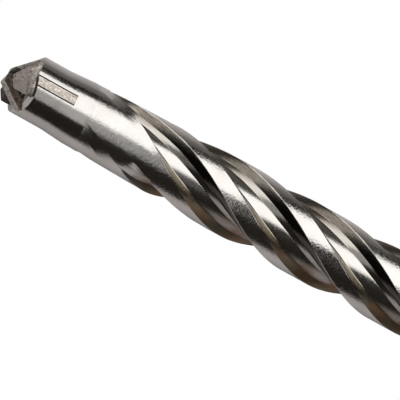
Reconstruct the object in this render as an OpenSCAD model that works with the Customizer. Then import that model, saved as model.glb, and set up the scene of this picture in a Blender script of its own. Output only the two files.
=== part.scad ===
// Hammer drill bit for masonry: four-edged carbide point, four-start spiral, slotted shank.
// It lies on its side: +X runs from the point to the shank's end, +Z is up, millimetres.

/* [Overall] */
// Length from the point to the striking face
total_length = 160; // [140:1:200]
// Cutting diameter over the two main edges, a little over the nominal size
cutting_d = 10.2; // [10.05:0.05:10.8]
// Diameter over the lands of the spiral
land_d = 9.75; // [9.2:0.05:9.9]

/* [Neck] */
// Diameter of the ground neck behind the point
neck_d = 8.1; // [7.6:0.05:8.5]
// Distance from the point to the front face of the neck
neck_start = 3.5; // [3.3:0.05:4]
// Distance from the point to where the neck starts to swell
neck_swell_start = 7.6; // [7:0.1:8.5]
// Diameter where the spiral takes over from the neck
spiral_front_d = 8.62; // [8.5:0.02:9]
// Distance from the point to the start of the spiral
spiral_start = 11; // [10.6:0.1:12]
// Distance from the point to where the lands reach full diameter
land_full_at = 33; // [25:0.5:45]

/* [Spiral] */
// Length of one full turn of the right-hand spiral
lead = 53.5; // [45:0.5:62]
// Angle of the first main flute where the spiral starts
flute_phase = 78; // [33:1:123]
// Arc taken up by one flute between two lands, degrees
flute_arc = 61.8; // [54:0.2:68]
// Arc of the steep wall beside each land's trailing edge, degrees
trailing_wall_arc = 9; // [6:0.5:12]
// Arc of the outer floor strip, degrees
outer_floor_arc = 18; // [12:0.5:22]
// Arc of the inner floor strip, degrees
inner_floor_arc = 13; // [9:0.5:16]
// Depth of the outer floor strip below the lands
outer_floor_depth = 1.12; // [0.8:0.02:1.3]
// Depth of the inner floor strip below the lands
inner_floor_depth = 1.42; // [1.35:0.02:1.7]
// Width of the broken edge beside each land, degrees
margin_arc = 1.2; // [0.6:0.1:2]
// Distance from the point to the start of the two main flutes
main_flute_start = 13; // [12.2:0.1:15]
// Distance from the point to the start of the two other flutes
other_flute_start = 18.4; // [15:0.1:22]
// Length over which a flute deepens at the front
run_in_length = 5; // [3:0.1:8]
// Length over which a flute widens at the front
widen_length = 11; // [6:0.5:16]
// Length of the run-out at the shank end
run_out_length = 9; // [6:0.5:14]

/* [Point] */
// Width of the arms that carry the cutting edges
arm_width = 1.7; // [1.4:0.05:1.8]
// Direction of the main cutting edge, degrees from the top
main_edge_angle = -31; // [-40:1:-20]
// Direction of the second cutting edge, degrees from the top
second_edge_angle = 59; // [50:1:70]
// Drop of the main edge from the point to its corner
main_edge_drop = 1.5; // [1.2:0.05:1.9]
// Drop of the second edge from the point to the neck's edge
second_edge_drop = 2.9; // [2.4:0.05:3.1]
// Clearance angle behind the cutting edges
clearance_angle = 20; // [14:1:26]
// Half length of the chisel edge at the centre
chisel_half = 0.45; // [0.3:0.05:0.6]
// Radius of the hub where the four arms meet
hub_r = 1.65; // [1.5:0.05:1.8]
// Thickness of the root plate brazed into the neck
root_thickness = 1.1; // [0.9:0.05:1.4]
// Direction of the root plate, degrees from the top
root_angle = -16; // [-24:1:-8]
// Distance from the point to the bottom of the root slot
root_end = 9.5; // [8.5:0.1:10]
// Width of the braze seam beside the root plate
seam_width = 0.12; // [0.08:0.01:0.2]
// Depth of the braze seam
seam_depth = 0.14; // [0.08:0.01:0.25]

/* [Shank] */
// Shank diameter
shank_d = 10; // [9.95:0.01:10]
// Length of the full-diameter shank
shank_length = 45; // [43:1:55]
// Length of the ground guide ahead of the grooves
guide_length = 11; // [8:0.5:11]
// Length of the cone from the guide down to the relieved tail
guide_cone = 1; // [0.5:0.1:1]
// Relief of the grooved length below the guide
tail_relief = 0.05; // [0.02:0.01:0.1]
// Length of the plain collar between spiral and shank
collar_length = 4; // [2:0.5:10]
// Step from the lands up to the collar
collar_step = 0.05; // [0.03:0.01:0.1]
// Length of the cone from collar to shank
collar_cone = 2; // [1:0.5:4]
// Width of the two open drive grooves
drive_width = 3.6; // [3.2:0.1:4]
// Depth of the drive grooves
drive_depth = 1.35; // [1.1:0.05:1.6]
// Length of the drive grooves from the striking face
drive_length = 28; // [24:0.5:30]
// Radius of the cutter that ends the drive grooves
drive_end_r = 9; // [6:0.5:12]
// Width of the two closed locking grooves
lock_width = 5.1; // [4.6:0.1:5.4]
// Depth of the locking grooves
lock_depth = 1.3; // [1:0.05:1.5]
// Distance from the striking face to the first ball centre of a locking groove
lock_start = 13; // [12:0.5:15]
// Distance between the end centres of a locking groove
lock_run = 15; // [12:0.5:16]
// Chamfer on the striking end
end_chamfer = 0.9; // [0.5:0.1:1.4]

/* [Hidden] */
shank_start = total_length - shank_length;
collar_start = shank_start - collar_cone - collar_length;
spiral_end = collar_start + 0.5;
axis_height = shank_d / 2;
cutting_r = cutting_d / 2;
neck_r = neck_d / 2;
land_r = land_d / 2;
collar_r = land_r + collar_step;
front_r = spiral_front_d / 2;
tail_r = shank_d / 2 - tail_relief;
turn_rate = 360 / lead;
starts = 4;
land_arc = 360 / starts - flute_arc;
far = 60;
lock_ball_r = (pow(lock_width / 2, 2) + pow(lock_depth, 2)) / (2 * lock_depth);

// Land radius at a distance from the point: a slow cone, then the full diameter.
function land_r_at(s) = s >= land_full_at ? land_r
    : front_r - 0.02 + (land_r - front_r + 0.02) * (s - spiral_start) / (land_full_at - spiral_start);

function ramp(t) = max(0, min(1, t));

// Depth share of a flute, 0 on plain stock and 1 where it is fully cut.
function depth_share(s, start) = min(ramp((s - start) / run_in_length),
    sqrt(ramp((collar_start - s) / run_out_length)));

// Width share of a flute: it opens from a narrow lens to its full arc.
function width_share(s, start) = min(0.5 + 0.5 * ramp((s - start) / widen_length),
    0.55 + 0.45 * ramp((collar_start - s) / run_out_length));

// One flute and the land below it, as [arc share from the flute's middle, depth below the land].
half = flute_arc / 2;
wall_foot = half - trailing_wall_arc;
ridge = wall_foot - outer_floor_arc;
inner_edge = ridge - 2.5;
lead_foot = inner_edge - inner_floor_arc;
flute_profile = [
    [half + margin_arc * 0.5, 0],
    [half - margin_arc * 0.5, 0.06],
    [(half + wall_foot) / 2, outer_floor_depth * 0.62],
    [wall_foot, outer_floor_depth],
    [(wall_foot + ridge) / 2, outer_floor_depth - 0.05],
    [ridge, outer_floor_depth],
    [inner_edge, inner_floor_depth],
    [(inner_edge + lead_foot) / 2, inner_floor_depth],
    [lead_foot, inner_floor_depth * 0.96],
    [(lead_foot * 2 - half) / 3, inner_floor_depth * 0.62],
    [-half, 0]
];
land_profile = [for (i = [1 : 5]) [-half - land_arc * i / 6, 0]];

function flute_of(k) = k % 2 == 0 ? main_flute_start : other_flute_start;

// One ring of the spiral at distance s, running the same way round at every s.
function ring(s) = [
    for (k = [starts - 1 : -1 : 0])
        let (d = depth_share(s, flute_of(k)), w = width_share(s, flute_of(k)),
            mid = flute_phase + turn_rate * (s - spiral_start) + 360 / starts * k)
        for (p = concat(flute_profile, land_profile))
            let (is_land = p[0] < -half - 0.01,
                a = is_land ? p[0] + (half - half * w) * (p[0] + half + land_arc) / land_arc : p[0] * w,
                r = land_r_at(s) - p[1] * d)
            [r * cos(mid + a), r * sin(mid + a), s]
];

// Ring stations: close together where the flutes run in and out, wider between.
stations = concat(
    [for (i = [0 : 16]) spiral_start + (main_flute_start + 14 - spiral_start) * i / 16],
    [for (i = [1 : 46]) main_flute_start + 14
        + (collar_start - run_out_length - main_flute_start - 14) * i / 46],
    [for (i = [1 : 7]) collar_start - run_out_length * (1 - i / 7)],
    [spiral_end]
);

module spiral() {
    rings = [for (s = stations) ring(s)];
    m = len(rings[0]);
    n = len(rings);
    points = [for (r = rings) each r];
    sides = [for (i = [0 : n - 2], j = [0 : m - 1])
        let (a = i * m + j, b = i * m + (j + 1) % m)
        each [[a, b, b + m], [a, b + m, a + m]]];
    caps = [[for (j = [m - 1 : -1 : 0]) j], [for (j = [0 : m - 1]) (n - 1) * m + j]];
    polyhedron(points = points, faces = concat(sides, caps), convexity = 10);
}

// Neck, as turned and ground: plain, then swelling to meet the spiral.
module neck_form() {
    rotate_extrude($fn = 96)
        polygon([[0, neck_start], [neck_r, neck_start], [neck_r, neck_swell_start],
            [front_r, spiral_start], [front_r, spiral_start + 0.4], [0, spiral_start + 0.4]]);
}

// Slot for the root plate; grow widens it on both sides.
module root_slot(grow = 0) {
    rotate([0, 0, root_angle])
        translate([-cutting_r, -root_thickness / 2 - grow, neck_start])
            cube([2 * cutting_r, root_thickness + 2 * grow, root_end - neck_start]);
}

// Ring that reaches seam_depth below the neck's surface.
module seam_ring() {
    rotate_extrude($fn = 96)
        polygon([[neck_r - seam_depth, neck_start], [neck_r + 1, neck_start],
            [neck_r + 1, spiral_start], [front_r - seam_depth, spiral_start],
            [neck_r - seam_depth, neck_swell_start]]);
}

module braze_seam() {
    intersection() {
        root_slot(seam_width);
        seam_ring();
    }
}

// Collar, cone, guide and grooved tail in one turned profile.
module shank_form() {
    rotate_extrude($fn = 128)
        polygon([[0, collar_start], [collar_r, collar_start], [collar_r, shank_start - collar_cone],
            [shank_d / 2, shank_start], [shank_d / 2, shank_start + guide_length],
            [tail_r, shank_start + guide_length + guide_cone], [tail_r, total_length - end_chamfer],
            [tail_r - end_chamfer, total_length], [0, total_length]]);
}

// Open groove that the tool's keys drive, run out by the cutter's radius.
module drive_groove() {
    translate([shank_d / 2 - drive_depth, -drive_width / 2, total_length - drive_length])
        cube([shank_d, drive_width, drive_length + 1]);
    translate([shank_d / 2 - drive_depth + drive_end_r, 0, total_length - drive_length])
        rotate([90, 0, 0])
            cylinder(h = drive_width, r = drive_end_r, center = true, $fn = 96);
}

// Closed groove that the locking ball runs in.
module lock_groove() {
    z0 = total_length - lock_start - lock_run;
    translate([shank_d / 2 - lock_depth + lock_ball_r, 0, z0]) {
        cylinder(h = lock_run, r = lock_ball_r, $fn = 64);
        sphere(r = lock_ball_r, $fn = 64);
        translate([0, 0, lock_run])
            sphere(r = lock_ball_r, $fn = 64);
    }
}

module body_in_line() {
    difference() {
        union() {
            neck_form();
            spiral();
            shank_form();
        }
        root_slot();
        braze_seam();
        for (a = [0, 180])
            rotate([0, 0, a])
                drive_groove();
        for (a = [90, 270])
            rotate([0, 0, a])
                lock_groove();
    }
}

// One arm of the point: a block behind its cutting edge, below its own flank plane.
module arm(angle, reach, drop, reach_at) {
    slope = atan(drop / (reach_at - chisel_half));
    rotate([0, 0, angle])
        intersection() {
            translate([-0.4, 0, 0])
                cube([reach + 0.4, arm_width, neck_start]);
            cylinder(h = neck_start, r = reach, $fn = 96);
            translate([chisel_half, 0, 0])
                rotate([0, -slope, 0])
                    rotate([clearance_angle, 0, 0])
                        translate([-far / 2, -far / 2, 0])
                            cube([far, far, far]);
        }
}

module hub() {
    slope = atan(second_edge_drop / (neck_r - chisel_half));
    rotate_extrude($fn = 64)
        polygon([[0, 0.12], [chisel_half * 0.5, 0.12], [hub_r, 0.12 + (hub_r - chisel_half * 0.5) * tan(slope)],
            [hub_r, neck_start], [0, neck_start]]);
}

module point_in_line() {
    union() {
        hub();
        for (half_turn = [0, 180]) {
            arm(main_edge_angle + half_turn, cutting_r, main_edge_drop, cutting_r);
            arm(second_edge_angle + half_turn, neck_r, second_edge_drop, neck_r);
        }
        intersection() {
            neck_form();
            root_slot();
        }
        intersection() {
            cylinder(h = root_end, r = hub_r - 0.1, $fn = 64);
            rotate([0, 0, root_angle])
                translate([-hub_r, -root_thickness / 2, neck_start - 0.5])
                    cube([2 * hub_r, root_thickness, 1]);
        }
    }
}

// From the build axis to the lying tool: the point at -X, the shank's underside on z = 0.
module lay_down() {
    translate([-total_length / 2, 0, axis_height])
        rotate([0, 90, 0])
            rotate([0, 0, 180])
                children();
}

module steel_body() {
    color("silver")
        lay_down()
            body_in_line();
}

module carbide_tip() {
    color("dimgray")
        lay_down()
            point_in_line();
}

steel_body();
carbide_tip();
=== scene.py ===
"""Looks for a masonry hammer drill bit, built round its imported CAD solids.

The bit lies along X with its carbide point at -X, on a pale studio floor at z = 0.
Lengths are metres; the sizes repeat the named values of the part's source.
"""
import logging
import math
from dataclasses import dataclass, field
from enum import Enum
from typing import Callable, Iterable, Optional

import bmesh
import bpy
from mathutils import Matrix, Vector


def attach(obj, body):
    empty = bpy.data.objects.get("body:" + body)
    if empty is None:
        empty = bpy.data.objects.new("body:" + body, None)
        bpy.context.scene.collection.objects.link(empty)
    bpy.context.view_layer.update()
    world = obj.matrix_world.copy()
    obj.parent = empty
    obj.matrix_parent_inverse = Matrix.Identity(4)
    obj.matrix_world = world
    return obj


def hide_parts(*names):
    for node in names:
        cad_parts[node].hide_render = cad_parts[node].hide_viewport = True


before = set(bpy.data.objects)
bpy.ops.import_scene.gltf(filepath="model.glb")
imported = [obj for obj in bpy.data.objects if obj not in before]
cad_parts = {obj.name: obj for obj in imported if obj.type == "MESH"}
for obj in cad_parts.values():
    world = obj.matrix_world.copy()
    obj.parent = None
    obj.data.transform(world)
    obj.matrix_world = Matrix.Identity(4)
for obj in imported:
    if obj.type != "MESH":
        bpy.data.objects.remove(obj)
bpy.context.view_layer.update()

LOG = logging.getLogger("drill_bit")
MM = 0.001


class Region(Enum):
    """Which part of the spiral's section a vertex lies on."""

    LAND = 0
    TRAILING_WALL = 1
    OUTER_FLOOR = 2
    RIDGE = 3
    INNER_FLOOR = 4
    LEADING_WALL = 5


# Helpers


def linear(hex_colour: str) -> tuple[float, float, float, float]:
    """Turn an sRGB hex value into Blender's linear colour.

    Args:
        hex_colour: Six hex digits, such as "8a8782".

    Returns:
        Linear red, green, blue and an alpha of 1.
    """
    parts = [int(hex_colour[i:i + 2], 16) / 255 for i in (0, 2, 4)]
    lin = [c / 12.92 if c <= 0.04045 else ((c + 0.055) / 1.055) ** 2.4 for c in parts]
    return lin[0], lin[1], lin[2], 1.0


def add_node(tree: bpy.types.NodeTree, kind: str, links: Optional[dict] = None, **settings) -> bpy.types.Node:
    """Add one shader node with its settings, input values and links.

    Args:
        tree: The material's node tree.
        kind: The node's type name.
        links: Input name or number to a value, or to an output socket to link from.
        settings: Properties of the node itself.

    Returns:
        The new node.
    """
    node = tree.nodes.new(kind)
    for key, value in settings.items():
        setattr(node, key, value)
    for key, value in (links or {}).items():
        socket = node.inputs[key]
        if isinstance(value, bpy.types.NodeSocket):
            tree.links.new(value, socket)
        else:
            socket.default_value = value
    return node


def ramp(t: float) -> float:
    """Clamp a value to the range from 0 to 1."""
    return max(0.0, min(1.0, t))


def on_axis(s: float, angle: float, r: float, height: float) -> Vector:
    """Place a point of the turned form in the object's frame.

    Args:
        s: Distance from the point of the bit, already shifted to X.
        angle: Angle from the top towards -Y, radians.
        r: Distance from the bit's axis.
        height: Height of the axis above the floor.

    Returns:
        The point in metres.
    """
    return Vector((s, -r * math.sin(angle), height + r * math.cos(angle)))


def finish_piece(name: str, bm: bmesh.types.BMesh, sharp_deg: float = 32.0) -> bpy.types.Object:
    """Turn a bmesh into a scene object with smooth faces and crisp edges.

    Args:
        name: Name of the piece.
        bm: The mesh, which is freed.
        sharp_deg: Edges bent by more than this stay crisp.

    Returns:
        The linked object, at the origin.
    """
    bmesh.ops.recalc_face_normals(bm, faces=bm.faces)
    limit = math.radians(sharp_deg)
    for face in bm.faces:
        face.smooth = True
    for edge in bm.edges:
        edge.smooth = len(edge.link_faces) == 2 and edge.calc_face_angle(0.0) < limit
    mesh = bpy.data.meshes.new(name)
    bm.to_mesh(mesh)
    bm.free()
    piece = bpy.data.objects.new(name, mesh)
    bpy.context.collection.objects.link(piece)
    return piece


def turned(profile: Iterable[tuple[float, float]], height: float, steps: int) -> bmesh.types.BMesh:
    """Turn a profile about the bit's axis into a closed solid.

    Args:
        profile: Pairs of X and radius, starting and ending on the axis.
        height: Height of the axis.
        steps: Number of segments round the axis.

    Returns:
        The closed mesh.
    """
    bm = bmesh.new()
    verts = [bm.verts.new(on_axis(x, 0.0, r, height)) for x, r in profile]
    edges = [bm.edges.new(pair) for pair in zip(verts, verts[1:])]
    bmesh.ops.spin(bm, geom=verts + edges, cent=(0, 0, height), axis=(1, 0, 0),
                   dvec=(0, 0, 0), angle=2 * math.pi, steps=steps, use_merge=True)
    bmesh.ops.remove_doubles(bm, verts=bm.verts, dist=1e-7)
    return bm


def cut(piece: bpy.types.Object, cutters: list[bpy.types.Object]) -> None:
    """Cut solids out of a piece and apply the result to its mesh.

    Args:
        piece: The piece to cut.
        cutters: Closed solids, which are removed afterwards.
    """
    for i, cutter in enumerate(cutters):
        mod = piece.modifiers.new(f"cut_{i}", "BOOLEAN")
        mod.operation = "DIFFERENCE"
        mod.solver = "EXACT"
        mod.object = cutter
    graph = bpy.context.evaluated_depsgraph_get()
    mesh = bpy.data.meshes.new_from_object(piece.evaluated_get(graph))
    piece.modifiers.clear()
    piece.data = mesh
    for cutter in cutters:
        bpy.data.objects.remove(cutter, do_unlink=True)


def join(piece: bpy.types.Object, others: list[bpy.types.Object]) -> None:
    """Unite solids with a piece and apply the result to its mesh.

    Args:
        piece: The piece that grows.
        others: Closed solids, which are removed afterwards.
    """
    for i, other in enumerate(others):
        mod = piece.modifiers.new(f"join_{i}", "BOOLEAN")
        mod.operation = "UNION"
        mod.solver = "EXACT"
        mod.object = other
    graph = bpy.context.evaluated_depsgraph_get()
    mesh = bpy.data.meshes.new_from_object(piece.evaluated_get(graph))
    piece.modifiers.clear()
    piece.data = mesh
    for other in others:
        bpy.data.objects.remove(other, do_unlink=True)


def keep_behind(bm: bmesh.types.BMesh, point: Vector, normal: Vector) -> None:
    """Cut a closed mesh with a plane and close it again.

    Args:
        bm: The mesh.
        point: A point of the plane.
        normal: The plane's normal; what lies on its side is taken away.
    """
    geom = bm.verts[:] + bm.edges[:] + bm.faces[:]
    made = bmesh.ops.bisect_plane(bm, geom=geom, dist=1e-8, plane_co=point, plane_no=normal, clear_outer=True)
    rim = [e for e in made["geom_cut"] if isinstance(e, bmesh.types.BMEdge) and e.is_boundary]
    bmesh.ops.holes_fill(bm, edges=rim, sides=0)


def resharpen(piece: bpy.types.Object, sharp_deg: float = 30.0) -> None:
    """Set smooth faces and crisp edges again after a cut.

    Args:
        piece: The piece to treat.
        sharp_deg: Edges bent by more than this stay crisp.
    """
    bm = bmesh.new()
    bm.from_mesh(piece.data)
    bmesh.ops.remove_doubles(bm, verts=bm.verts, dist=2e-7)
    bmesh.ops.dissolve_degenerate(bm, dist=1e-7, edges=bm.edges)
    limit = math.radians(sharp_deg)
    for face in bm.faces:
        face.smooth = True
    for edge in bm.edges:
        edge.smooth = len(edge.link_faces) == 2 and edge.calc_face_angle(0.0) < limit
    bm.to_mesh(piece.data)
    bm.free()


# Finishes


@dataclass(frozen=True)
class BlastedSteel:
    """Hardened tool steel, rolled and ground to form, then fine shot-blasted.

    The blast leaves a bright, slightly frosted skin: wide soft reflections that
    break up into grain where light turns to dark.
    """

    name: str = "blasted_tool_steel"
    bright: str = "d3d1cf"
    warm: str = "bcb6ae"
    grain_mm: float = 0.3
    grain_depth_mm: float = 0.045
    roughness: float = 0.18

    def make(self) -> bpy.types.Material:
        """Build the material.

        Returns:
            The blasted steel for lands, neck and shank.
        """
        mat = bpy.data.materials.new(self.name)
        mat.use_nodes = True
        tree = mat.node_tree
        shader = tree.nodes["Principled BSDF"]
        shader.inputs["Metallic"].default_value = 1.0
        coords = add_node(tree, "ShaderNodeTexCoord").outputs["Object"]
        grain = add_node(tree, "ShaderNodeTexNoise", {"Vector": coords, "Scale": 1.0 / (self.grain_mm * MM),
                                                      "Detail": 3.0, "Roughness": 0.6})
        cloud = add_node(tree, "ShaderNodeTexNoise", {"Vector": coords, "Scale": 320.0, "Detail": 4.0})
        tone = add_node(tree, "ShaderNodeMix", {0: cloud.outputs["Fac"], 6: linear(self.bright),
                                                7: linear(self.warm)}, data_type="RGBA")
        tree.links.new(tone.outputs[2], shader.inputs["Base Color"])
        rough = add_node(tree, "ShaderNodeMapRange", {0: grain.outputs["Fac"], 1: 0.3, 2: 0.7,
                                                      3: self.roughness - 0.05, 4: self.roughness + 0.08})
        tree.links.new(rough.outputs[0], shader.inputs["Roughness"])
        bump = add_node(tree, "ShaderNodeBump", {"Strength": 0.6, "Distance": self.grain_depth_mm * MM,
                                                 "Height": grain.outputs["Fac"]})
        tree.links.new(bump.outputs["Normal"], shader.inputs["Normal"])
        return mat


@dataclass(frozen=True)
class FluteSteel:
    """The flutes of the same steel, left as rolled and hardened.

    Scale and oil leave the walls olive grey and the depths rust brown, with fine
    streaks that run along the flute. The leading walls, and faintly the inner
    floors, are painted near black as shade, which fades towards the top (+Y) side.
    """

    name: str = "rolled_flute_steel"
    bright: str = "cfccc8"
    olive: str = "8f8674"
    brown: str = "6f6558"
    rust: str = "8f6845"
    # Near black, painted as shade on the leading walls and inner floors.
    painted_shade_black: str = "231e1a"
    grain_mm: float = 0.16
    roughness: float = 0.17

    def make(self) -> bpy.types.Material:
        """Build the material, which reads the piece's streak map, its wall and stain attributes and its painted shade
        share.

        Returns:
            The steel for floors and walls of the flutes.
        """
        mat = bpy.data.materials.new(self.name)
        mat.use_nodes = True
        tree = mat.node_tree
        shader = tree.nodes["Principled BSDF"]
        shader.inputs["Metallic"].default_value = 1.0
        coords = add_node(tree, "ShaderNodeTexCoord").outputs["Object"]
        lay = add_node(tree, "ShaderNodeUVMap", uv_map="along_flute").outputs["UV"]
        grain = add_node(tree, "ShaderNodeTexNoise", {"Vector": coords, "Scale": 1.0 / (self.grain_mm * MM),
                                                      "Detail": 3.0, "Roughness": 0.6})
        stretch = add_node(tree, "ShaderNodeMapping", {"Vector": lay, "Scale": (0.9, 16.0, 1.0)})
        streaks = add_node(tree, "ShaderNodeTexNoise", {"Vector": stretch.outputs[0], "Scale": 1.0, "Detail": 4.0,
                                                        "Roughness": 0.6})
        wall = add_node(tree, "ShaderNodeAttribute", attribute_name="wall")
        stain = add_node(tree, "ShaderNodeAttribute", attribute_name="stain")
        across = add_node(tree, "ShaderNodeSeparateXYZ", {0: coords}).outputs["Y"]
        # Share of painted shade on each vertex: much on the leading walls, a little on the inner floors.
        painted_wall_shade = add_node(tree, "ShaderNodeAttribute", attribute_name="painted_wall_shade")
        # Where painted shade lies, the top side's fade of it starts up to 0.9 mm further up.
        later = add_node(tree, "ShaderNodeMapRange", {0: painted_wall_shade.outputs["Fac"], 1: 0.0, 2: 0.1,
                                                      3: 0.0, 4: -0.9 * MM})
        shifted = add_node(tree, "ShaderNodeMath", {0: across, 1: later.outputs[0]}, operation="ADD")
        high = add_node(tree, "ShaderNodeMapRange", {0: shifted.outputs[0], 1: 1.5 * MM, 2: 2.6 * MM,
                                                     3: 0.0, 4: 1.0})
        clean = add_node(tree, "ShaderNodeMix", {0: wall.outputs["Fac"], 6: linear(self.bright),
                                                 7: linear(self.olive)}, data_type="RGBA")
        bands = add_node(tree, "ShaderNodeMapRange", {0: streaks.outputs["Fac"], 1: 0.38, 2: 0.6, 3: 0.55, 4: 1.0})
        dull = add_node(tree, "ShaderNodeMath", {0: bands.outputs[0], 1: high.outputs[0]}, operation="MULTIPLY")
        base = add_node(tree, "ShaderNodeMix", {0: dull.outputs[0], 6: clean.outputs[2],
                                                7: linear(self.brown)}, data_type="RGBA")
        patch = add_node(tree, "ShaderNodeTexNoise", {"Vector": coords, "Scale": 260.0, "Detail": 3.0})
        patch_on = add_node(tree, "ShaderNodeMapRange", {0: patch.outputs["Fac"], 1: 0.38, 2: 0.58, 3: 0.15, 4: 1.0})
        low = add_node(tree, "ShaderNodeMapRange", {0: across, 1: -2.2 * MM, 2: -3.4 * MM, 3: 0.03, 4: 1.0})
        patches = add_node(tree, "ShaderNodeMath", {0: low.outputs[0], 1: patch_on.outputs[0]},
                           operation="MULTIPLY")
        amount = add_node(tree, "ShaderNodeMath", {0: stain.outputs["Fac"], 1: patches.outputs[0]},
                          operation="MULTIPLY")
        rusty = add_node(tree, "ShaderNodeMix", {0: amount.outputs[0], 6: base.outputs[2], 7: linear(self.rust)},
                         data_type="RGBA")
        # Painted shade: near black mixed in by that share, raised to a higher power towards the top (+Y) so it fades
        # there.
        power = add_node(tree, "ShaderNodeMath", {0: high.outputs[0], 1: 5.0, 2: 1.0}, operation="MULTIPLY_ADD")
        painted_shade_weight = add_node(tree, "ShaderNodeMath", {0: painted_wall_shade.outputs["Fac"], 1: power.outputs[0]}, operation="POWER")
        painted_shaded = add_node(tree, "ShaderNodeMix", {0: painted_shade_weight.outputs[0], 6: rusty.outputs[2],
                                                  7: linear(self.painted_shade_black)}, data_type="RGBA")
        tree.links.new(painted_shaded.outputs[2], shader.inputs["Base Color"])
        rough = add_node(tree, "ShaderNodeMapRange", {0: streaks.outputs["Fac"], 1: 0.3, 2: 0.7,
                                                      3: self.roughness - 0.06, 4: self.roughness + 0.1})
        dulled = add_node(tree, "ShaderNodeMath", {0: high.outputs[0], 1: 0.12, 2: rough.outputs[0]},
                          operation="MULTIPLY_ADD")
        dirt = add_node(tree, "ShaderNodeMath", {0: low.outputs[0], 1: stain.outputs["Fac"]}, operation="MULTIPLY")
        dirty = add_node(tree, "ShaderNodeMath", {0: dirt.outputs[0], 1: 0.42, 2: dulled.outputs[0]},
                         operation="MULTIPLY_ADD")
        tree.links.new(dirty.outputs[0], shader.inputs["Roughness"])
        both = add_node(tree, "ShaderNodeMath", {0: grain.outputs["Fac"], 1: streaks.outputs["Fac"]},
                        operation="ADD")
        bump = add_node(tree, "ShaderNodeBump", {"Strength": 0.5, "Distance": 0.000012,
                                                 "Height": both.outputs[0]})
        tree.links.new(bump.outputs["Normal"], shader.inputs["Normal"])
        return mat


@dataclass(frozen=True)
class SinteredCarbide:
    """Tungsten carbide, pressed and sintered to shape, with ground edges.

    It is darker and warmer than the steel, grainy and only half glossy.
    """

    name: str = "sintered_carbide"
    grey: str = "cfc8c0"
    brown: str = "83796e"
    grain_mm: float = 0.33
    roughness: float = 0.42

    def make(self) -> bpy.types.Material:
        """Build the material.

        Returns:
            The carbide of the point and its root plate.
        """
        mat = bpy.data.materials.new(self.name)
        mat.use_nodes = True
        tree = mat.node_tree
        shader = tree.nodes["Principled BSDF"]
        shader.inputs["Metallic"].default_value = 1.0
        shader.inputs["Roughness"].default_value = self.roughness
        coords = add_node(tree, "ShaderNodeTexCoord").outputs["Object"]
        grain = add_node(tree, "ShaderNodeTexNoise", {"Vector": coords, "Scale": 1.0 / (self.grain_mm * MM),
                                                      "Detail": 5.0, "Roughness": 0.65})
        mask = add_node(tree, "ShaderNodeMapRange", {0: grain.outputs["Fac"], 1: 0.35, 2: 0.65, 3: 0.0, 4: 1.0})
        tone = add_node(tree, "ShaderNodeMix", {0: mask.outputs[0], 6: linear(self.brown),
                                                7: linear(self.grey)}, data_type="RGBA")
        tree.links.new(tone.outputs[2], shader.inputs["Base Color"])
        bump = add_node(tree, "ShaderNodeBump", {"Strength": 0.6, "Distance": 0.00002,
                                                 "Height": grain.outputs["Fac"]})
        tree.links.new(bump.outputs["Normal"], shader.inputs["Normal"])
        return mat


# The steel body and the carbide point


@dataclass
class BitSizes:
    """Sizes that the pieces share, in millimetres, as in the part's source."""

    total_length: float = 160.0
    cutting_d: float = 10.2
    land_d: float = 9.75
    neck_d: float = 8.1
    point_start: float = 0.6
    neck_start: float = 3.05
    neck_swell_start: float = 7.6
    spiral_front_d: float = 8.62
    spiral_start: float = 11.0
    land_full_at: float = 33.0
    lead: float = 53.5
    flute_phase: float = 78.0
    flute_arc: float = 61.8
    trailing_wall_arc: float = 9.0
    outer_floor_arc: float = 29.0
    inner_floor_arc: float = 12.0
    outer_floor_depth: float = 1.2
    inner_floor_depth: float = 1.41
    main_flute_start: float = 13.0
    other_flute_start: float = 18.4
    run_in_length: float = 5.0
    widen_length: float = 11.0
    run_out_length: float = 9.0
    root_thickness: float = 1.1
    root_angle: float = -16.0
    root_end: float = 8.9
    seam_width: float = 0.16
    seam_depth: float = 0.2
    shank_d: float = 10.0
    shank_length: float = 45.0
    guide_length: float = 11.0
    guide_cone: float = 1.0
    tail_relief: float = 0.05
    collar_length: float = 4.0
    collar_step: float = 0.05
    collar_cone: float = 2.0
    drive_width: float = 3.6
    drive_depth: float = 1.35
    drive_length: float = 28.0
    drive_end_r: float = 9.0
    lock_width: float = 5.1
    lock_depth: float = 1.3
    lock_start: float = 13.0
    lock_run: float = 15.0
    end_chamfer: float = 0.9

    @property
    def axis_height(self) -> float:
        """Height of the axis in metres."""
        return self.shank_d / 2 * MM

    @property
    def shank_start(self) -> float:
        """Distance from the point to the full shank, millimetres."""
        return self.total_length - self.shank_length

    @property
    def collar_start(self) -> float:
        """Distance from the point to the collar, millimetres."""
        return self.shank_start - self.collar_cone - self.collar_length

    @property
    def neck_r(self) -> float:
        """Radius of the neck, millimetres."""
        return self.neck_d / 2

    def x(self, s: float) -> float:
        """Turn a distance from the point in millimetres into X in metres."""
        return (s - self.total_length / 2) * MM

    def land_r(self, s: float) -> float:
        """Radius of the lands at a distance from the point, millimetres."""
        front, full = self.spiral_front_d / 2 - 0.02, self.land_d / 2
        if s >= self.land_full_at:
            return full
        return front + (full - front) * (s - self.spiral_start) / (self.land_full_at - self.spiral_start)

    def depth_share(self, s: float, start: float) -> float:
        """Share of a flute's full depth at a distance from the point."""
        return min(ramp((s - start) / self.run_in_length),
                   math.sqrt(ramp((self.collar_start - s) / self.run_out_length)))

    def width_share(self, s: float, start: float) -> float:
        """Share of a flute's full width at a distance from the point."""
        return min(0.5 + 0.5 * ramp((s - start) / self.widen_length),
                   0.55 + 0.45 * ramp((self.collar_start - s) / self.run_out_length))


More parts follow.
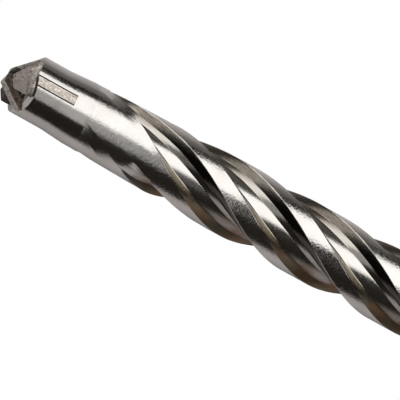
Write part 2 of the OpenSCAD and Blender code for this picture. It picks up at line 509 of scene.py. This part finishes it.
@dataclass
class Spiral:
    """The four-start fluted length, screwed from one ring and carved to depth."""

    sizes: BitSizes
    steps_per_mm: float = 2.6
    columns: list[tuple[float, float, Region]] = field(default_factory=list)

    def __post_init__(self) -> None:
        """Lay out the columns of one flute and the land below it."""
        z = self.sizes
        half = z.flute_arc / 2
        foot = half - z.trailing_wall_arc
        ridge = foot - z.outer_floor_arc
        lead_foot = ridge - z.inner_floor_arc
        corners = [
            (half + 0.5, 0.0, Region.LAND, 1),
            (half, 0.015, Region.TRAILING_WALL, 1),
            (half - 0.6, 0.07, Region.TRAILING_WALL, 4),
            (foot + 0.8, z.outer_floor_depth * 0.94, Region.TRAILING_WALL, 2),
            (foot - 1.2, z.outer_floor_depth, Region.OUTER_FLOOR, 8),
            (ridge + 0.7, z.inner_floor_depth - 0.01, Region.OUTER_FLOOR, 1),
            (ridge, z.inner_floor_depth, Region.RIDGE, 1),
            (ridge - 0.7, z.inner_floor_depth - 0.02, Region.INNER_FLOOR, 4),
            (lead_foot, z.inner_floor_depth * 0.69, Region.INNER_FLOOR, 1),
            (lead_foot - 0.7, z.inner_floor_depth * 0.65, Region.LEADING_WALL, 5),
            (-half + 1.2, 0.09, Region.LEADING_WALL, 1),
            (-half + 0.5, 0.05, Region.LAND, 1),
            (-half, 0.012, Region.LAND, 1),
            (-half - 0.5, 0.0, Region.LAND, 8),
            (-(90 - half) + 0.5, 0.0, Region.LAND, 0),
        ]
        for (a0, d0, kind, n), (a1, d1, _, _) in zip(corners, corners[1:]):
            for i in range(n):
                t = i / n
                self.columns.append((a0 + (a1 - a0) * t, d0 + (d1 - d0) * t, kind))

    def start_of(self, k: int) -> float:
        """Distance from the point to where flute k starts, millimetres."""
        return self.sizes.main_flute_start if k % 2 == 0 else self.sizes.other_flute_start

    def carved(self, k: int, column: tuple[float, float, Region], s: float) -> tuple[float, float]:
        """Work out where a column of the section lies at one distance.

        Args:
            k: Number of the flute, 0 to 3.
            column: Arc from the flute's middle, depth and region.
            s: Distance from the point, millimetres.

        Returns:
            Angle in degrees from the flute's middle, and radius in millimetres.
        """
        z = self.sizes
        depth = z.depth_share(s, self.start_of(k))
        width = z.width_share(s, self.start_of(k))
        arc, below, kind = column
        half, land = z.flute_arc / 2, 90 - z.flute_arc
        if kind is Region.LAND and arc < -half:
            arc += (half - half * width) * (arc + half + land) / land
        else:
            arc *= width
        return arc, z.land_r(s) - below * depth

    def build(self) -> bpy.types.Object:
        """Screw the ring along the axis, then carve every vertex to its depth.

        Returns:
            The fluted piece.
        """
        z = self.sizes
        end = z.collar_start + 0.5
        count = int((end - z.spiral_start) * self.steps_per_mm)
        turn = math.radians(360 / z.lead * (end - z.spiral_start))
        bm = bmesh.new()
        bm.verts.layers.int.new("column")
        bm.verts.layers.float.new("wall")
        bm.verts.layers.float.new("stain")
        # Layer for the share of near-black painted shade.
        bm.verts.layers.float.new("painted_wall_shade")
        bm.loops.layers.uv.new("along_flute")
        code = bm.verts.layers.int["column"]
        marks = [bm.verts.layers.float[name] for name in ("wall", "stain", "painted_wall_shade")]
        ring = []
        for k in range(3, -1, -1):
            for i, column in enumerate(self.columns):
                arc, radius = self.carved(k, column, z.spiral_start)
                angle = math.radians(z.flute_phase + 90 * k + arc)
                vert = bm.verts.new(on_axis(z.x(z.spiral_start), angle, radius * MM, z.axis_height))
                vert[code] = k * 1000 + i
                ring.append(vert)
        edges = [bm.edges.new((a, b)) for a, b in zip(ring, ring[1:] + ring[:1])]
        bmesh.ops.spin(bm, geom=ring + edges, cent=(0, 0, z.axis_height), axis=(1, 0, 0),
                       dvec=((end - z.spiral_start) * MM / count, 0, 0), angle=turn, steps=count)
        # Per region: share of olive wall tone, of rust stain, and of near-black painted shade.
        tint = {Region.LAND: (0.0, 0.0, 0.0), Region.TRAILING_WALL: (1.0, 0.7, 0.0),
                Region.OUTER_FLOOR: (0.12, 1.0, 0.0), Region.RIDGE: (0.4, 0.8, 0.0),
                Region.INNER_FLOOR: (0.4, 0.7, 0.12), Region.LEADING_WALL: (0.3, 0.2, 0.86)}
        for vert in bm.verts:
            k, i = divmod(vert[code], 1000)
            s = vert.co.x / MM + z.total_length / 2
            arc, radius = self.carved(k, self.columns[i], s)
            angle = math.radians(z.flute_phase + 90 * k + 360 / z.lead * (s - z.spiral_start) + arc)
            vert.co = on_axis(vert.co.x, angle, radius * MM, z.axis_height)
            share = z.depth_share(s, self.start_of(k))
            for mark, amount in zip(marks, tint[self.columns[i][2]]):
                vert[mark] = amount * share
        self.map_along(bm, code)
        bmesh.ops.holes_fill(bm, edges=[e for e in bm.edges if e.is_boundary], sides=0)
        return finish_piece("spiral_steel", bm, 13.0)

    def map_along(self, bm: bmesh.types.BMesh, code: bmesh.types.BMLayerItem) -> None:
        """Lay a map along the flutes, in millimetres, and mark land and flute faces.

        Args:
            bm: The carved mesh.
            code: The layer that holds each vertex's flute and column.
        """
        z = self.sizes
        uv = bm.loops.layers.uv["along_flute"]
        count = len(self.columns)
        for face in bm.faces:
            numbers = [v[code] % 1000 for v in face.verts]
            wraps = max(numbers) - min(numbers) > count // 2
            for loop in face.loops:
                number = loop.vert[code] % 1000
                if wraps and number < count // 2:
                    number += count
                arc = self.columns[number % count][0] - (90 if number >= count else 0)
                loop[uv].uv = (loop.vert.co.x / MM * 1.12, math.radians(arc) * z.land_d / 2)
            kinds = [self.columns[n % count][2] for n in numbers]
            s = face.calc_center_median().x / MM + z.total_length / 2
            plain = z.depth_share(s, self.start_of(face.verts[0][code] // 1000)) < 0.03
            face.material_index = 0 if plain or all(kind is Region.LAND for kind in kinds) else 1


def trim(bm: bmesh.types.BMesh, z: BitSizes, turn: float, point: tuple[float, float, float],
         normal: tuple[float, float, float]) -> None:
    """Cut a mesh with a plane given in an arm's own frame.

    Args:
        bm: The mesh, which lies along X.
        z: The bit's sizes.
        turn: Direction of the arm about the axis, degrees from the top.
        point: Point of the plane: out along the arm, sideways, and back from the point, millimetres.
        normal: Normal of the plane in the same frame; its side is taken away.
    """
    spin = Matrix.Rotation(math.radians(turn), 3, "Z")
    at, out = spin @ Vector(point), spin @ Vector(normal)
    keep_behind(bm, Vector((z.x(at.z + z.point_start), -at.y * MM, z.axis_height + at.x * MM)),
                Vector((out.z, -out.y, out.x)))


@dataclass(frozen=True)
class Flat:
    """A flat ground or worn over the front edge of the neck."""

    turn: float
    slope: float
    end: float

    def outward(self) -> Vector:
        """Direction that the finished flat faces, in the scene's frame."""
        tilt = math.atan(self.slope)
        out = Matrix.Rotation(math.radians(self.turn), 3, "Z") @ Vector((math.sin(tilt), 0, -math.cos(tilt)))
        return Vector((out.z, -out.y, out.x))

    def grind(self, bm: bmesh.types.BMesh, z: BitSizes) -> None:
        """Take the flat off a mesh.

        Args:
            bm: The mesh.
            z: The bit's sizes.
        """
        tilt = math.atan(self.slope)
        trim(bm, z, self.turn, (z.neck_r, 0, self.end), (math.sin(tilt), 0, -math.cos(tilt)))


GULLET_FLATS = (Flat(25.0, 0.54, 3.4), Flat(205.0, 0.54, 3.4))
WORN_FLAT = Flat(-106.0, 1.0, 3.4)
FLATS = (*GULLET_FLATS, WORN_FLAT)


@dataclass
class Neck:
    """The ground neck with its brazed slot, up to where the spiral takes over."""

    sizes: BitSizes

    def slot_box(self, name: str, half_width: float, floor_r: float) -> bpy.types.Object:
        """Make a box that runs across the neck in the root plate's direction.

        Args:
            name: Name of the cutter.
            half_width: Half the box's width, millimetres.
            floor_r: Inner end of the box from the axis, millimetres; 0 cuts right through.

        Returns:
            The cutter.
        """
        z = self.sizes
        bm = bmesh.new()
        for side in ((1,) if floor_r == 0 else (1, -1)):
            low = -z.cutting_d if floor_r == 0 else floor_r
            made = bmesh.ops.create_cube(bm, size=1.0)
            span = (z.cutting_d - low) * MM
            matrix = (Matrix.Translation((z.x((z.neck_start - 1 + z.root_end) / 2), 0, z.axis_height))
                      @ Matrix.Rotation(math.radians(z.root_angle), 4, "X")
                      @ Matrix.Translation((0, 0, side * (low * MM + span / 2)))
                      @ Matrix.Diagonal((((z.root_end - z.neck_start + 1) * MM), 2 * half_width * MM, span, 1)))
            bmesh.ops.transform(bm, matrix=matrix, verts=made["verts"])
        return finish_piece(name, bm)

    def build(self) -> bpy.types.Object:
        """Turn the neck and cut the slot and its seam.

        Returns:
            The neck piece.
        """
        z = self.sizes
        r, front = z.neck_d / 2 * MM, z.spiral_front_d / 2 * MM
        edge = 0.05 * MM
        profile = [(z.x(z.neck_start), 0.0), (z.x(z.neck_start), r - edge), (z.x(z.neck_start) + edge, r)]
        for i in range(25):
            s = z.neck_start + 0.6 + (z.spiral_start - z.neck_start - 0.6) * i / 24
            t = ramp((s - z.neck_swell_start) / (z.spiral_start - z.neck_swell_start))
            profile.append((z.x(s), r + (front - r) * t))
        profile += [(z.x(z.spiral_start + 0.4), front), (z.x(z.spiral_start + 0.4), 0.0)]
        form = turned(profile, z.axis_height, 160)
        for flat in FLATS:
            flat.grind(form, z)
        piece = finish_piece("ground_neck", form)
        cut(piece, [self.slot_box("slot", z.root_thickness / 2, 0),
                    self.slot_box("seam", z.root_thickness / 2 + z.seam_width, z.neck_d / 2 - z.seam_depth)])
        resharpen(piece)
        for face in piece.data.polygons:
            place = face.center - Vector((0, 0, z.axis_height))
            depth = z.neck_r - math.hypot(place.y, place.z) / MM
            face.material_index = 1 if depth > 0.03 and abs(face.normal.x) < 0.5 else 0
        return piece


@dataclass
class Shank:
    """Collar, cone and slotted shank, turned and then grooved."""

    sizes: BitSizes
    inside_mm: float = 0.0145

    def drive_cutter(self, turn: float) -> bpy.types.Object:
        """Make the cutter of one open drive groove.

        Args:
            turn: Angle about the axis, degrees.

        Returns:
            The cutter.
        """
        z = self.sizes
        bm = bmesh.new()
        floor = (z.shank_d / 2 - z.drive_depth) * MM
        start = z.x(z.total_length - z.drive_length)
        end_r = z.drive_end_r * MM
        outline = [bm.verts.new((start, 0, floor)), bm.verts.new((z.x(z.total_length) + MM, 0, floor)),
                   bm.verts.new((z.x(z.total_length) + MM, 0, floor + 6 * MM)),
                   bm.verts.new((start - 6 * MM, 0, floor + 6 * MM))]
        for i in range(12):
            a = math.radians(52 * (12 - i) / 12)
            outline.append(bm.verts.new((start - end_r * math.sin(a), 0, floor + end_r * (1 - math.cos(a)))))
        face = bm.faces.new(outline)
        bmesh.ops.translate(bm, verts=bm.verts, vec=(0, -z.drive_width / 2 * MM, 0))
        moved = bmesh.ops.extrude_face_region(bm, geom=[face])
        bmesh.ops.translate(bm, verts=[v for v in moved["geom"] if isinstance(v, bmesh.types.BMVert)],
                            vec=(0, z.drive_width * MM, 0))
        bmesh.ops.rotate(bm, verts=bm.verts, cent=(0, 0, 0), matrix=Matrix.Rotation(math.radians(turn), 3, "X"))
        bmesh.ops.translate(bm, verts=bm.verts, vec=(0, 0, z.axis_height))
        return finish_piece("drive_cutter", bm)

    def lock_cutter(self, turn: float) -> bpy.types.Object:
        """Make the cutter of one closed locking groove: a ball swept along the shank.

        Args:
            turn: Angle about the axis, degrees.

        Returns:
            The cutter.
        """
        z = self.sizes
        ball = ((z.lock_width / 2) ** 2 + z.lock_depth ** 2) / (2 * z.lock_depth) * MM
        low = z.x(z.total_length - z.lock_start - z.lock_run)
        bm = bmesh.new()
        bmesh.ops.create_uvsphere(bm, u_segments=48, v_segments=24, radius=ball)
        bmesh.ops.rotate(bm, verts=bm.verts, cent=(0, 0, 0), matrix=Matrix.Rotation(math.pi / 2, 3, "Y"))
        front = [v for v in bm.verts if v.co.x > 1e-7]
        loop = [e for e in bm.edges if all(abs(v.co.x) < 1e-7 for v in e.verts)]
        bmesh.ops.split_edges(bm, edges=loop)
        front = [v for f in bm.faces if f.calc_center_median().x > 0 for v in f.verts]
        bmesh.ops.translate(bm, verts=list(set(front)), vec=(z.lock_run * MM, 0, 0))
        bmesh.ops.bridge_loops(bm, edges=[e for e in bm.edges if e.is_boundary])
        bmesh.ops.translate(bm, verts=bm.verts, vec=(low, 0, z.shank_d / 2 * MM - z.lock_depth * MM + ball))
        bmesh.ops.rotate(bm, verts=bm.verts, cent=(0, 0, 0), matrix=Matrix.Rotation(math.radians(turn), 3, "X"))
        bmesh.ops.translate(bm, verts=bm.verts, vec=(0, 0, z.axis_height))
        return finish_piece("lock_cutter", bm)

    def build(self) -> bpy.types.Object:
        """Turn the shank and cut its four grooves.

        Returns:
            The shank piece.
        """
        z = self.sizes
        collar, full = (z.land_d / 2 + z.collar_step) * MM, (z.shank_d / 2 - self.inside_mm) * MM
        chamfer = z.end_chamfer * MM
        end = z.x(z.total_length)
        profile = [(z.x(z.collar_start), 0.0), (z.x(z.collar_start), collar)]
        profile += [(z.x(z.collar_start + (z.collar_length) * i / 6), collar) for i in range(1, 7)]
        guide_end = z.shank_start + z.guide_length
        tail = full - z.tail_relief * MM
        tail_start = z.x(guide_end + z.guide_cone)
        profile += [(z.x(z.shank_start + z.guide_length * i / 9), full) for i in range(10)]
        profile += [(tail_start + (end - chamfer - tail_start) * i / 26, tail) for i in range(27)]
        profile += [(end, tail - chamfer), (end, 0.0)]
        piece = finish_piece("slotted_shank", turned(profile, z.axis_height, 160))
        cut(piece, [self.drive_cutter(0), self.drive_cutter(180), self.lock_cutter(90), self.lock_cutter(270)])
        resharpen(piece)
        return piece


@dataclass(frozen=True)
class Roof:
    """The two slopes that meet in a cutting edge, in the frame of its arm."""

    edge_in: float
    rise: float
    ahead_deg: float
    behind_deg: float
    offset: float = 0.0

    def shape(self, bm: bmesh.types.BMesh, z: BitSizes, turn: float) -> None:
        """Cut both slopes.

        Args:
            bm: The arm's mesh.
            z: The bit's sizes.
            turn: Direction of the arm, degrees.
        """
        fall = math.atan(self.rise)
        for slope in (math.radians(self.behind_deg), -math.radians(self.ahead_deg)):
            trim(bm, z, turn, (0, self.offset, self.edge_in),
                 (math.cos(slope) * math.sin(fall), math.sin(slope), -math.cos(slope) * math.cos(fall)))


@dataclass
class CarbidePoint:
    """The four-edged carbide point with its root plate, cut plane by plane."""

    sizes: BitSizes
    main_turn: float = -29.0
    main_roof: Roof = Roof(0.45, 0.7 / 5.1, 30.0, 24.0)
    main_lead: float = 1.1
    main_back: float = 1.25
    main_back_turn: float = 29.0
    relief_turn: float = 36.0
    relief_land: float = 0.04
    worn_corner: tuple[float, float, float] = (4.4, 1.0, 1.9)
    undercut: float = 0.1
    foot_r: float = 3.6
    second_turn: float = 47.0
    second_roof: Roof = Roof(-0.66, 2.9 / 3.3, 40.0, 12.0, 0.5)
    second_lead: float = 0.7
    second_back: float = 1.3
    front: float = 2.45
    hub: tuple[tuple[float, float], ...] = ((0.0, 0.0), (0.0, 0.35), (1.25, 1.65), (2.4, 3.2), (3.0, 3.2), (3.0, 0.0))
    edge_radius_mm: float = 0.08

    def turned_form(self, profile: Iterable[tuple[float, float]]) -> bmesh.types.BMesh:
        """Turn a profile whose places count from the point.

        Args:
            profile: Distances from the point and radii, millimetres.

        Returns:
            The closed mesh.
        """
        z = self.sizes
        return turned([(z.x(s + z.point_start), r * MM) for s, r in profile], z.axis_height, 128)

    def main_arm(self, turn: float, heel: float) -> bpy.types.Object:
        """Make one long arm with its foot.

        Args:
            turn: Direction of its cutting edge, degrees.
            heel: How far its outer face runs on behind the neck's front, millimetres.

        Returns:
            The arm.
        """
        z, r, end = self.sizes, self.sizes.cutting_d / 2, GULLET_FLATS[0].end
        corner_r, corner_start, corner_end = self.worn_corner
        bm = self.turned_form([(0, 0), (0, corner_r), (corner_start, corner_r), (corner_end, r),
                               (self.front - self.undercut + heel, r), (self.front + heel, z.neck_r),
                               (self.front + heel + 0.02, self.foot_r),
                               (end, self.foot_r), (end, 0)])
        trim(bm, z, turn, (0, -self.main_lead, 0), (0, -1, 0))
        trim(bm, z, turn, (-0.2, 0, 0), (-1, 0, 0))
        trim(bm, z, turn + self.main_back_turn, (0, self.main_back, 0), (0, 1, 0))
        reach = r * math.cos(math.radians(self.relief_turn)) + self.relief_land
        trim(bm, z, turn + self.relief_turn, (reach, 0, 0), (1, 0, 0))
        self.main_roof.shape(bm, z, turn)
        return finish_piece("main_arm", bm)

    def second_arm(self, turn: float) -> bpy.types.Object:
        """Make one short arm.

        Args:
            turn: Direction of its cutting edge, degrees.

        Returns:
            The arm.
        """
        z, roof = self.sizes, self.second_roof
        bm = self.turned_form([(0, 0), (0, z.neck_r - 0.01), (GULLET_FLATS[0].end, z.neck_r - 0.01),
                               (GULLET_FLATS[0].end, 0)])
        trim(bm, z, turn, (0, 0, 0), (-1, 0, 0))
        trim(bm, z, turn, (0, roof.offset - self.second_lead, 0), (0, -1, 0))
        trim(bm, z, turn, (0, roof.offset + self.second_back, 0), (0, 1, 0))
        roof.shape(bm, z, turn)
        return finish_piece("second_arm", bm)

    def root_plate(self) -> bpy.types.Object:
        """Make the plate that is brazed into the neck's slot.

        Returns:
            The plate, flush with the neck.
        """
        z = self.sizes
        start, swell, end = (s - z.point_start for s in (z.neck_start, z.neck_swell_start, z.root_end))
        rise = (z.spiral_front_d / 2 - z.neck_r) / (z.spiral_start - z.neck_swell_start)
        bm = self.turned_form([(start, 0), (start, z.neck_r), (swell, z.neck_r), (end, z.neck_r + rise * (end - swell)),
                               (end, 0)])
        for side in (-1, 1):
            trim(bm, z, z.root_angle, (0, side * z.root_thickness / 2, 0), (0, side, 0))
        for flat in GULLET_FLATS:
            flat.grind(bm, z)
        return finish_piece("root_plate", bm)

    def build(self) -> bpy.types.Object:
        """Unite hub, arms and root plate, wear the flat and break the edges.

        Returns:
            The point, with material 1 on the leading walls and the worn flat: carbide
            painted dark as shade. Material 2 on the bevels paints their highlights.
        """
        z = self.sizes
        hub = self.turned_form(self.hub)
        for flat in GULLET_FLATS:
            flat.grind(hub, z)
        piece = finish_piece("carbide_point", hub)
        parts = [self.root_plate()]
        for half_turn, heel in ((0, 0.0), (180, 0.5)):
            parts += [self.main_arm(self.main_turn + half_turn, heel), self.second_arm(self.second_turn + half_turn)]
        join(piece, parts)
        bm = bmesh.new()
        bm.from_mesh(piece.data)
        bmesh.ops.remove_doubles(bm, verts=bm.verts, dist=2e-6)
        WORN_FLAT.grind(bm, z)
        bmesh.ops.dissolve_limit(bm, angle_limit=math.radians(1.0), verts=bm.verts, edges=bm.edges)
        sharp = [e for e in bm.edges if len(e.link_faces) == 2 and e.calc_face_angle(0.0) > math.radians(25)]
        # The bevels take material 2, near-white carbide that paints the edges' highlights.
        bmesh.ops.bevel(bm, geom=sharp, offset=self.edge_radius_mm * MM, offset_type="OFFSET", affect="EDGES",
                        segments=2, profile=0.5, material=2, clamp_overlap=True)
        bm.normal_update()
        # Leading walls and the worn flat take material 1: carbide painted dark as shade.
        for face in bm.faces:
            place = face.calc_center_median() - Vector((0, 0, z.axis_height))
            around = Vector((0, -place.z, place.y))
            leads = around.length > 0 and face.normal.dot(around.normalized()) < -0.3
            worn = face.normal.dot(WORN_FLAT.outward()) > 0.97
            if face.material_index != 2:
                face.material_index = 1 if worn or leads and abs(face.normal.x) < 0.9 else 0
        bpy.data.objects.remove(piece, do_unlink=True)
        return finish_piece("carbide_point", bm, 20.0)


# Studio


@dataclass
class Studio:
    """Camera, pale floor and soft light, placed as in the photograph."""

    target_mm: tuple[float, float, float] = (-49.7, -2.12, 5.0)
    lean_deg: float = 17.0
    roll_deg: float = 29.15
    frame_mm: float = 50.4
    distance_mm: float = 504.0

    def camera(self) -> None:
        """Look down on the lying bit, leaning to the point's side and rolled."""
        lean, roll = math.radians(self.lean_deg), math.radians(self.roll_deg)
        back = Vector((-math.sin(lean), 0, math.cos(lean)))
        along = Vector((math.cos(lean), 0, math.sin(lean)))
        down = Vector((0, -1, 0))
        right = math.cos(roll) * along - math.sin(roll) * down
        up = -math.sin(roll) * along - math.cos(roll) * down
        data = bpy.data.cameras.new("photo_camera")
        data.sensor_width = 36.0
        data.lens = 36.0 * self.distance_mm / self.frame_mm
        data.clip_start, data.clip_end = 0.01, 20.0
        camera = bpy.data.objects.new("photo_camera", data)
        matrix = Matrix((right, up, back)).transposed().to_4x4()
        matrix.translation = Vector(self.target_mm) * MM + back * self.distance_mm * MM
        camera.matrix_world = matrix
        bpy.context.collection.objects.link(camera)
        bpy.context.scene.camera = camera

    def softbox(self, name: str, azimuth: float, elevation: float, size: tuple[float, float], power: float,
                distance: float = 0.7, centre: float = -0.05) -> None:
        """Hang one area light that faces the bit.

        Args:
            name: Name of the light.
            azimuth: Degrees from +X towards +Y.
            elevation: Degrees above the floor.
            size: Width along the floor and height, metres.
            power: Watts.
            distance: Metres from the bit's front.
            centre: X of the place it faces, metres.
        """
        a, e = math.radians(azimuth), math.radians(elevation)
        direction = Vector((math.cos(e) * math.cos(a), math.cos(e) * math.sin(a), math.sin(e)))
        data = bpy.data.lights.new(name, "AREA")
        data.shape = "RECTANGLE"
        data.size, data.size_y = size
        data.energy = power
        light = bpy.data.objects.new(name, data)
        side = Vector((-math.sin(a), math.cos(a), 0))
        top = direction.cross(side)
        matrix = Matrix((side, top, direction)).transposed().to_4x4()
        matrix.translation = Vector((centre, 0, 0)) + direction * distance
        light.matrix_world = matrix
        bpy.context.collection.objects.link(light)

    def floor(self) -> None:
        """Lay the pale floor, which shows white to the camera; to other rays it is pale in front and painted darker
        behind the bit (+Y) as shade.
        """
        bm = bmesh.new()
        bmesh.ops.create_grid(bm, x_segments=2, y_segments=2, size=1.5)
        floor = finish_piece("studio_floor", bm)
        mat = bpy.data.materials.new("studio_paper")
        mat.use_nodes = True
        tree = mat.node_tree
        shader = tree.nodes["Principled BSDF"]
        coords = add_node(tree, "ShaderNodeTexCoord").outputs["Object"]
        across = add_node(tree, "ShaderNodeSeparateXYZ", {0: coords}).outputs["Y"]
        # Painted shade: the floor's colour darkens from 8 mm to 30 mm behind the bit, and the steel reflects it.
        painted_falloff = add_node(tree, "ShaderNodeMapRange", {0: across, 1: 0.008, 2: 0.03, 3: 0.0, 4: 1.0})
        tone = add_node(tree, "ShaderNodeMix", {0: painted_falloff.outputs[0], 6: linear("dcd8d9"), 7: linear("77736f")},
                        data_type="RGBA")
        tree.links.new(tone.outputs[2], shader.inputs["Base Color"])
        shader.inputs["Roughness"].default_value = 0.9
        path = add_node(tree, "ShaderNodeLightPath")
        glow = add_node(tree, "ShaderNodeEmission", {"Color": (1, 1, 1, 1), "Strength": 1.0})
        mix = add_node(tree, "ShaderNodeMixShader", {0: path.outputs["Is Camera Ray"],
                                                     1: shader.outputs[0], 2: glow.outputs[0]})
        tree.links.new(mix.outputs[0], tree.nodes["Material Output"].inputs["Surface"])
        floor.data.materials.append(mat)

    def world(self) -> None:
        """Give the room a dim, neutral tone, so the steel keeps its dark bands."""
        world = bpy.data.worlds.new("studio_room")
        bpy.context.scene.world = world
        world.use_nodes = True
        back = world.node_tree.nodes["Background"]
        back.inputs["Color"].default_value = linear("fff0e0")
        back.inputs["Strength"].default_value = 0.022

    def build(self) -> None:
        """Set up the whole studio."""
        self.camera()
        self.floor()
        self.world()
        self.softbox("key_softbox", 90, 54, (1.6, 0.80), 7.0, 0.7)
        self.softbox("neck_panel", 270, 79, (0.1, 0.17), 0.032, 0.26, -0.04)
        self.softbox("point_panel", 180, 38, (0.7, 0.4), 1.2, 0.7)
        bpy.context.scene.view_settings.view_transform = "Standard"


# Assembly


def dress(piece: bpy.types.Object, slot: str, materials: list[bpy.types.Material], *nodes: str) -> None:
    """Give a piece its materials and body, and hide the nodes it stands for.

    Args:
        piece: The piece.
        slot: The record's material slot; not used.
        materials: Materials in the order of the mesh's material numbers.
        nodes: CAD nodes that the piece replaces.
    """
    for mat in materials:
        piece.data.materials.append(mat)
    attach(piece, "root")
    if nodes:
        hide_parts(*nodes)
    LOG.info("%s: %d faces", piece.name, len(piece.data.polygons))


def main() -> None:
    """Build the studio and every piece of the bit."""
    logging.basicConfig(level=logging.INFO, format="%(message)s")
    sizes = BitSizes()
    Studio().build()
    blasted, flute, carbide = BlastedSteel().make(), FluteSteel().make(), SinteredCarbide().make()
    # Carbide painted dark as shade, for the leading walls and the worn flat.
    painted_shade_carbide = SinteredCarbide("carbide_painted_shade", "5a5047", "2f2822").make()
    # Near-white carbide on the ground edges' bevels: a painted highlight.
    edge_highlight_carbide = SinteredCarbide("ground_edges_painted_highlight", "f0ece6", "d8d2c8", 0.3, 0.45).make()
    ground = BlastedSteel("ground_neck_steel", "d0cdca", "b5afa8", 0.3, 0.018, 0.15).make()
    braze = SinteredCarbide("dark_braze", "2b2724", "161412").make()
    dress(Spiral(sizes).build(), "blasted_steel", [blasted, flute], "steel_body")
    dress(Neck(sizes).build(), "blasted_steel", [ground, braze], "steel_body")
    dress(Shank(sizes).build(), "blasted_steel", [blasted], "steel_body")
    dress(CarbidePoint(sizes).build(), "carbide", [carbide, painted_shade_carbide, edge_highlight_carbide], "carbide_tip")


if __name__ == "__main__":
    main()
